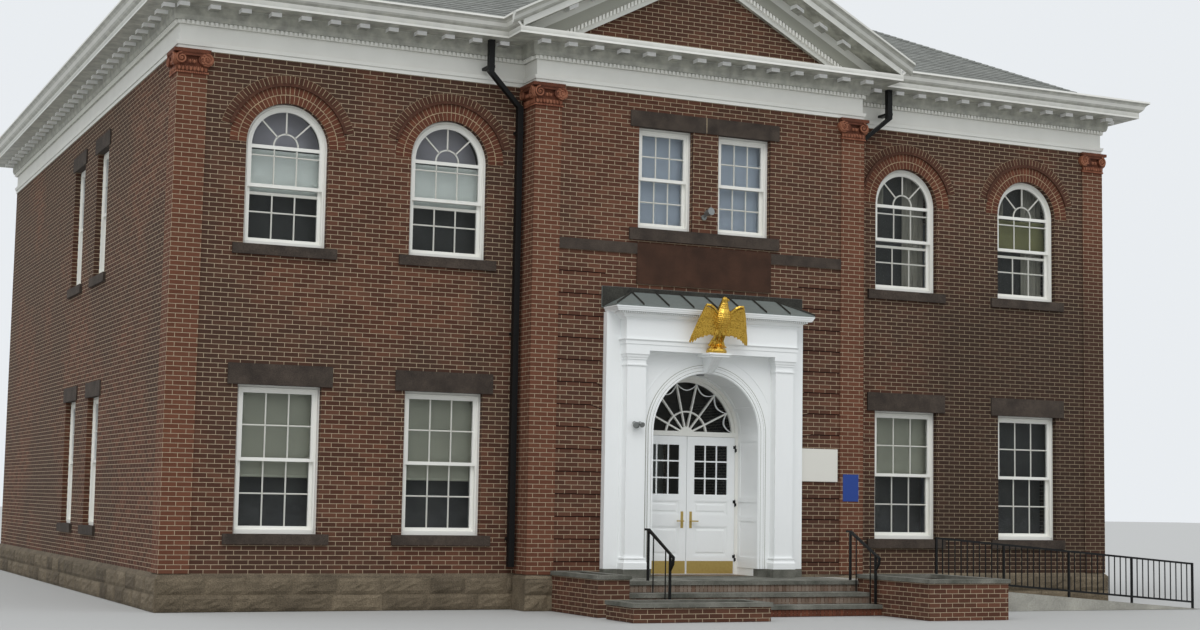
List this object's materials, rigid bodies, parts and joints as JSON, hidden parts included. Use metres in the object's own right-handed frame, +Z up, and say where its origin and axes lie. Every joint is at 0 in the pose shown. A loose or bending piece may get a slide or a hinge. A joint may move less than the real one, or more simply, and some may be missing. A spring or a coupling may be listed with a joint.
{
  "type": "town hall building",
  "caption": "Two-storey red brick town hall with a hipped roof, a pedimented centre bay, arched upper windows and a white portal with swinging double doors above steps and a ramp.",
  "frame": {"origin": "centre of the plan at ground level, the lowest point of the walls", "axes": "+X along the front towards its right end, +Y from the front to the rear, +Z up"},
  "size_m": [17.82, 19.495, 13.016],
  "materials": {
    "red_brick": "matt fired clay brick with lime mortar",
    "base_stone": "rock-faced light brown stone",
    "brown_stone": "rubbed brown stone",
    "dark_stone": "weathered dark stone",
    "bluestone": "flamed bluestone slabs",
    "white_wood": "white gloss paint on wood",
    "terracotta": "unglazed red terracotta",
    "shingles": "grey granulated asphalt shingles",
    "hood_metal": "dark grey painted sheet metal",
    "black_iron": "black gloss paint on iron",
    "glass": "clear window glass",
    "brass": "polished brass",
    "gilding": "gold leaf",
    "door_paint": "white gloss paint on wood",
    "floor_boards": "varnished boards",
    "concrete": "broomed concrete"
  },
  "bodies": {
    "building": {"stone_base": "base_stone", "front_wall_left": "red_brick", "front_wall_right": "red_brick", "upper_front_wall_left": "red_brick", "upper_front_wall_right": "red_brick", "left_side_wall": "red_brick", "right_side_wall": "red_brick", "rear_wall": "red_brick", "bay_pier_left": "red_brick", "bay_pier_right": "red_brick", "door_arch_masonry": "red_brick", "bay_upper_wall": "red_brick", "ground_floor": "floor_boards", "upper_floor": "floor_boards", "corner_pilasters": "red_brick", "capitals": "terracotta", "window_lintels": "brown_stone", "window_sills": "brown_stone", "arch_labels": "brown_stone", "string_band": "dark_stone", "name_panel": "brown_stone", "entablature": "white_wood", "front_eaves": "white_wood", "side_eaves": "white_wood", "rear_eaves": "white_wood", "bay_cornice": "white_wood", "raking_cornice": "white_wood", "modillions": "white_wood", "main_roof": "shingles", "bay_roof": "shingles", "downspouts": "black_iron", "front_windows": "white_wood", "front_glass": "glass", "side_windows": "white_wood", "side_glass": "glass", "rear_windows": "white_wood", "rear_glass": "glass", "portal_casing": "white_wood", "portal_arch": "white_wood", "portal_entablature": "white_wood", "portal_hood": "hood_metal", "keystone_bracket": "white_wood", "eagle": "gilding", "portal_plinths": "dark_stone", "door_frame": "white_wood", "fanlight_glass": "glass", "frame_hinges": "brass", "steps_core": "red_brick", "step_treads": "bluestone", "planters": "red_brick", "planter_copings": "bluestone", "ramp": "concrete", "ramp_railing": "black_iron", "step_railings": "black_iron"},
    "left_door": {"left_door_leaf": "door_paint", "left_door_glass": "glass", "left_door_brass": "brass"},
    "right_door": {"right_door_leaf": "door_paint", "right_door_glass": "glass", "right_door_brass": "brass"}
  },
  "joints": [
    {"name": "left_door_hinge", "type": "hinge", "parent": "building", "child": "left_door", "pos_m": [-0.87, -6.0525, 1.6], "axis": [0, 0, -1], "range_deg": [0, 90]},
    {"name": "right_door_hinge", "type": "hinge", "parent": "building", "child": "right_door", "pos_m": [0.87, -6.0525, 1.6], "axis": [0, 0, 1], "range_deg": [0, 90]}
  ]
}
